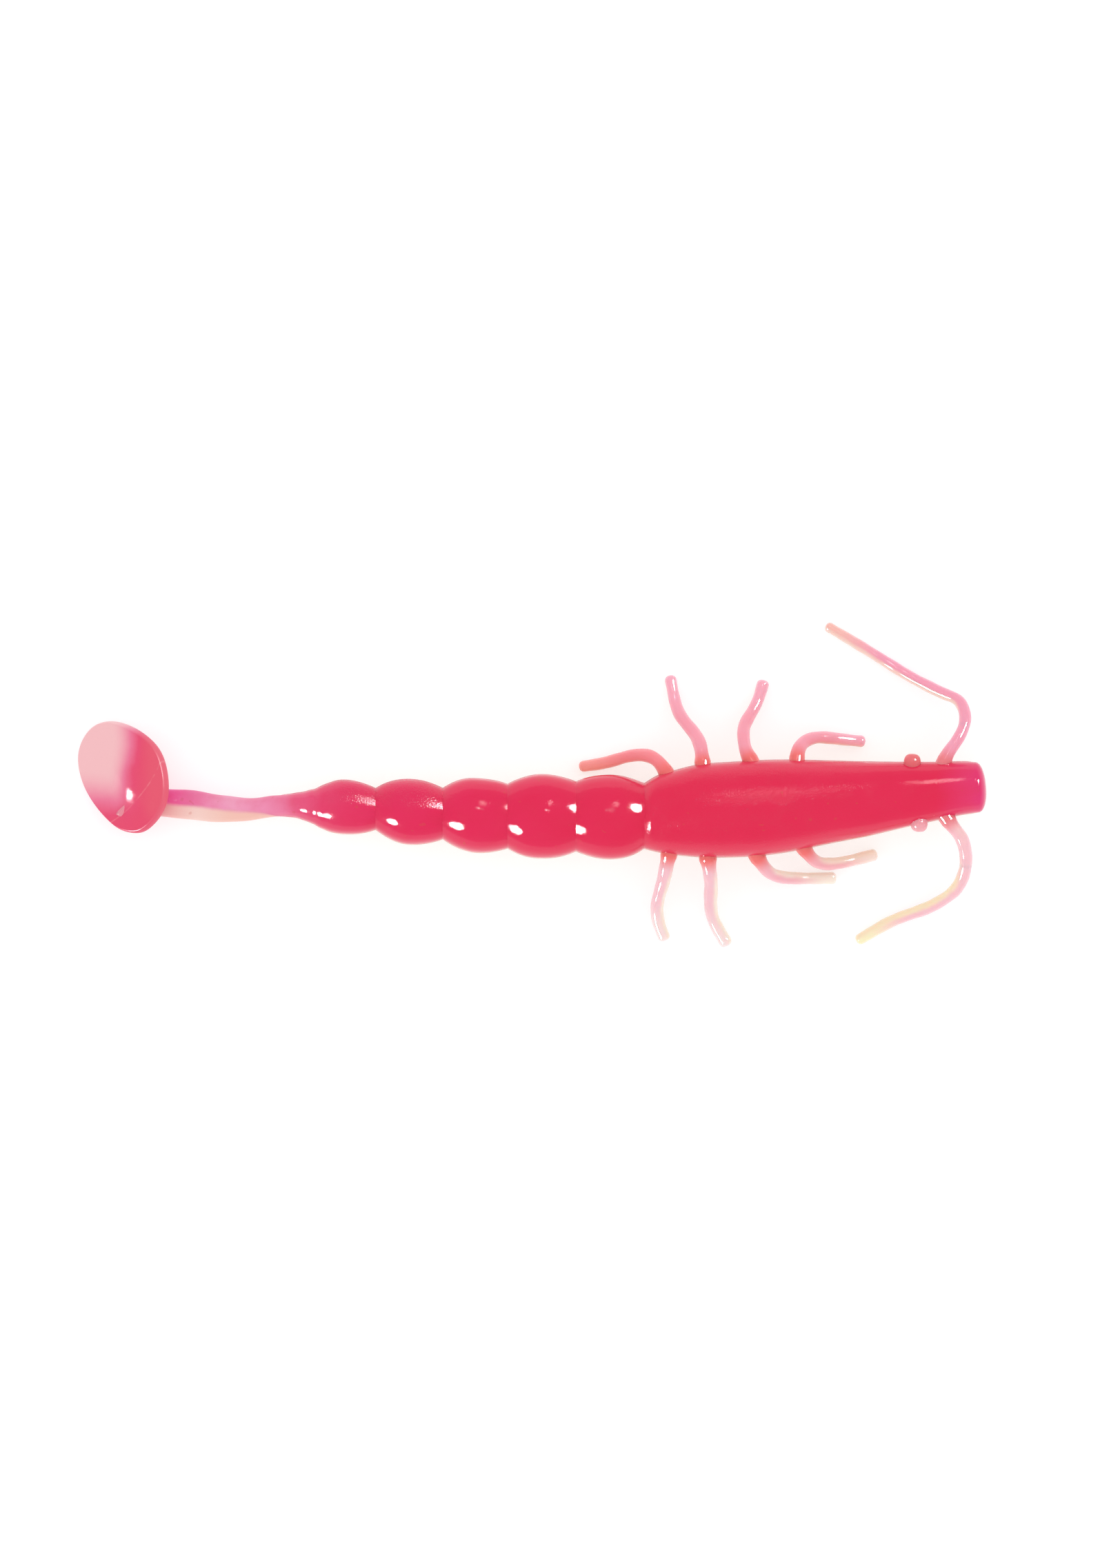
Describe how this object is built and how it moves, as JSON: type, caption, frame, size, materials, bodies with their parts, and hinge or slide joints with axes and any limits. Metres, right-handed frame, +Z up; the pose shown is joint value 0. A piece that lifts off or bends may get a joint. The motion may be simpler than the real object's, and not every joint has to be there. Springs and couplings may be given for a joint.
{
  "type": "soft plastic fishing lure",
  "caption": "Soft plastic creature bait with a flat nose, side legs, swept feelers, a ringed flexible abdomen and a twisted stem ending in a paddle tail.",
  "frame": {"origin": "on the flat nose face, on its upright centre line and 0.3 mm above the colour split", "axes": "+X along the lure's length towards the nose, +Y to the lure's left, +Z up through its back"},
  "size_m": [0.0751, 0.0267, 0.0077],
  "materials": {
    "red_back": "glossy, soft plastisol",
    "cream_belly": "glossy, soft plastisol",
    "waist_core": "glossy, soft plastisol",
    "leg_pink": "glossy, soft plastisol, translucent",
    "feeler_pale": "glossy, soft plastisol, translucent",
    "paddle_pink": "glossy, soft plastisol, translucent"
  },
  "bodies": {
    "head_thorax": {"head_thorax_back": "red_back", "head_thorax_belly": "cream_belly", "left_eye": "red_back", "right_eye": "red_back"},
    "waist_1": {"waist_1": "waist_core"},
    "segment_1": {"segment_1_back": "red_back", "segment_1_belly": "cream_belly"},
    "waist_2": {"waist_2": "waist_core"},
    "segment_2": {"segment_2_back": "red_back", "segment_2_belly": "cream_belly"},
    "waist_3": {"waist_3": "waist_core"},
    "segment_3": {"segment_3_back": "red_back", "segment_3_belly": "cream_belly"},
    "waist_4": {"waist_4": "waist_core"},
    "segment_4": {"segment_4_back": "red_back", "segment_4_belly": "cream_belly"},
    "waist_5": {"waist_5": "waist_core"},
    "segment_5": {"segment_5_back": "red_back", "segment_5_belly": "cream_belly"},
    "stem_front": {"stem_front_back": "red_back", "stem_front_belly": "cream_belly"},
    "stem_rear": {"stem_rear_back": "red_back", "stem_rear_belly": "cream_belly"},
    "tail_paddle": {"tail_paddle": "paddle_pink"},
    "left_leg_1": {"left_leg_1": "leg_pink"},
    "left_leg_2": {"left_leg_2": "leg_pink"},
    "left_leg_3": {"left_leg_3": "leg_pink"},
    "left_leg_4": {"left_leg_4": "leg_pink"},
    "right_leg_1": {"right_leg_1": "leg_pink"},
    "right_leg_2": {"right_leg_2": "leg_pink"},
    "right_leg_3": {"right_leg_3": "leg_pink"},
    "right_leg_4": {"right_leg_4": "leg_pink"},
    "left_feeler_base": {"left_feeler_base": "feeler_pale"},
    "left_feeler_tip": {"left_feeler_tip": "feeler_pale"},
    "right_feeler_base": {"right_feeler_base": "feeler_pale"},
    "right_feeler_tip": {"right_feeler_tip": "feeler_pale"}
  },
  "joints": [
    {"name": "neck_1_yaw", "type": "hinge", "parent": "head_thorax", "child": "waist_1", "pos_m": [-0.0282, -0.00235, -0.0003], "axis": [0, 0, 1], "range_deg": [-18, 18], "stiffness_Nm_per_rad": 0.0031},
    {"name": "neck_1_pitch", "type": "hinge", "parent": "waist_1", "child": "segment_1", "pos_m": [-0.0282, -0.00235, -0.0003], "axis": [0, -1, 0], "range_deg": [-14, 14], "stiffness_Nm_per_rad": 0.0031},
    {"name": "neck_2_yaw", "type": "hinge", "parent": "segment_1", "child": "waist_2", "pos_m": [-0.03385, -0.00242, -0.0005], "axis": [0, 0, 1], "range_deg": [-18, 18], "stiffness_Nm_per_rad": 0.00426},
    {"name": "neck_2_pitch", "type": "hinge", "parent": "waist_2", "child": "segment_2", "pos_m": [-0.03385, -0.00242, -0.0005], "axis": [0, -1, 0], "range_deg": [-14, 14], "stiffness_Nm_per_rad": 0.00426},
    {"name": "neck_3_yaw", "type": "hinge", "parent": "segment_2", "child": "waist_3", "pos_m": [-0.0395, -0.00238, -0.00068], "axis": [0, 0, 1], "range_deg": [-18, 18], "stiffness_Nm_per_rad": 0.00296},
    {"name": "neck_3_pitch", "type": "hinge", "parent": "waist_3", "child": "segment_3", "pos_m": [-0.0395, -0.00238, -0.00068], "axis": [0, -1, 0], "range_deg": [-14, 14], "stiffness_Nm_per_rad": 0.00296},
    {"name": "neck_4_yaw", "type": "hinge", "parent": "segment_3", "child": "waist_4", "pos_m": [-0.04485, -0.00215, -0.00095], "axis": [0, 0, 1], "range_deg": [-18, 18], "stiffness_Nm_per_rad": 0.00122},
    {"name": "neck_4_pitch", "type": "hinge", "parent": "waist_4", "child": "segment_4", "pos_m": [-0.04485, -0.00215, -0.00095], "axis": [0, -1, 0], "range_deg": [-14, 14], "stiffness_Nm_per_rad": 0.00122},
    {"name": "neck_5_yaw", "type": "hinge", "parent": "segment_4", "child": "waist_5", "pos_m": [-0.0504, -0.0018, -0.00128], "axis": [0, 0, 1], "range_deg": [-18, 18], "stiffness_Nm_per_rad": 0.000501},
    {"name": "neck_5_pitch", "type": "hinge", "parent": "waist_5", "child": "segment_5", "pos_m": [-0.0504, -0.0018, -0.00128], "axis": [0, -1, 0], "range_deg": [-14, 14], "stiffness_Nm_per_rad": 0.000501},
    {"name": "stem_root", "type": "hinge", "parent": "segment_5", "child": "stem_front", "pos_m": [-0.05745, -0.00147, -0.00175], "axis": [0, 0, 1], "range_deg": [-22, 22], "stiffness_Nm_per_rad": 0.00006},
    {"name": "stem_mid", "type": "hinge", "parent": "stem_front", "child": "stem_rear", "pos_m": [-0.0624, -0.00179, -0.0021], "axis": [0, -1, 0], "range_deg": [-22, 22], "stiffness_Nm_per_rad": 0.00004},
    {"name": "ankle", "type": "hinge", "parent": "stem_rear", "child": "tail_paddle", "pos_m": [-0.06872, -0.00126, -0.00235], "axis": [0, -1, 0], "range_deg": [-18, 18], "stiffness_Nm_per_rad": 0.00004},
    {"name": "left_hip_1", "type": "hinge", "parent": "head_thorax", "child": "left_leg_1", "pos_m": [-0.02645, 0.0013, -0.0005], "axis": [0, 1, 0], "range_deg": [-6, 24], "stiffness_Nm_per_rad": 0.00000618},
    {"name": "left_hip_2", "type": "hinge", "parent": "head_thorax", "child": "left_leg_2", "pos_m": [-0.0234, 0.0021, -0.0005], "axis": [1, 0, 0], "range_deg": [-6, 24], "stiffness_Nm_per_rad": 0.00000711},
    {"name": "left_hip_3", "type": "hinge", "parent": "head_thorax", "child": "left_leg_3", "pos_m": [-0.0195, 0.00235, -0.0005], "axis": [1, 0, 0], "range_deg": [-6, 24], "stiffness_Nm_per_rad": 0.00000618},
    {"name": "left_hip_4", "type": "hinge", "parent": "head_thorax", "child": "left_leg_4", "pos_m": [-0.0156, 0.00245, -0.0005], "axis": [0, -1, 0], "range_deg": [-6, 24], "stiffness_Nm_per_rad": 0.00000618},
    {"name": "right_hip_1", "type": "hinge", "parent": "head_thorax", "child": "right_leg_1", "pos_m": [-0.0262, -0.00565, -0.0005], "axis": [-1, 0, 0], "range_deg": [-6, 24], "stiffness_Nm_per_rad": 0.00000814},
    {"name": "right_hip_2", "type": "hinge", "parent": "head_thorax", "child": "right_leg_2", "pos_m": [-0.02295, -0.00595, -0.0005], "axis": [-1, 0, 0], "range_deg": [-6, 24], "stiffness_Nm_per_rad": 0.00000814},
    {"name": "right_hip_3", "type": "hinge", "parent": "head_thorax", "child": "right_leg_3", "pos_m": [-0.0188, -0.00585, -0.0005], "axis": [0, -1, 0], "range_deg": [-6, 24], "stiffness_Nm_per_rad": 0.00000618},
    {"name": "right_hip_4", "type": "hinge", "parent": "head_thorax", "child": "right_leg_4", "pos_m": [-0.0149, -0.0052, -0.0005], "axis": [0, -1, 0], "range_deg": [-6, 24], "stiffness_Nm_per_rad": 0.00000534},
    {"name": "left_feeler_root", "type": "hinge", "parent": "head_thorax", "child": "left_feeler_base", "pos_m": [-0.00342, 0.0023, 0], "axis": [0, 0, 1], "range_deg": [-14, 14], "stiffness_Nm_per_rad": 0.00000459},
    {"name": "left_feeler_elbow", "type": "hinge", "parent": "left_feeler_base", "child": "left_feeler_tip", "pos_m": [-0.0023, 0.0072, -0.0018], "axis": [0.4899, 0.8718, 0], "range_deg": [-4, 28], "stiffness_Nm_per_rad": 0.00000459},
    {"name": "right_feeler_root", "type": "hinge", "parent": "head_thorax", "child": "right_feeler_base", "pos_m": [-0.0031, -0.00275, 0], "axis": [0, 0, 1], "range_deg": [-14, 14], "stiffness_Nm_per_rad": 0.00000618},
    {"name": "right_feeler_elbow", "type": "hinge", "parent": "right_feeler_base", "child": "right_feeler_tip", "pos_m": [-0.0025, -0.00845, -0.002], "axis": [-0.4612, 0.8873, 0], "range_deg": [-4, 28], "stiffness_Nm_per_rad": 0.00000618}
  ]
}
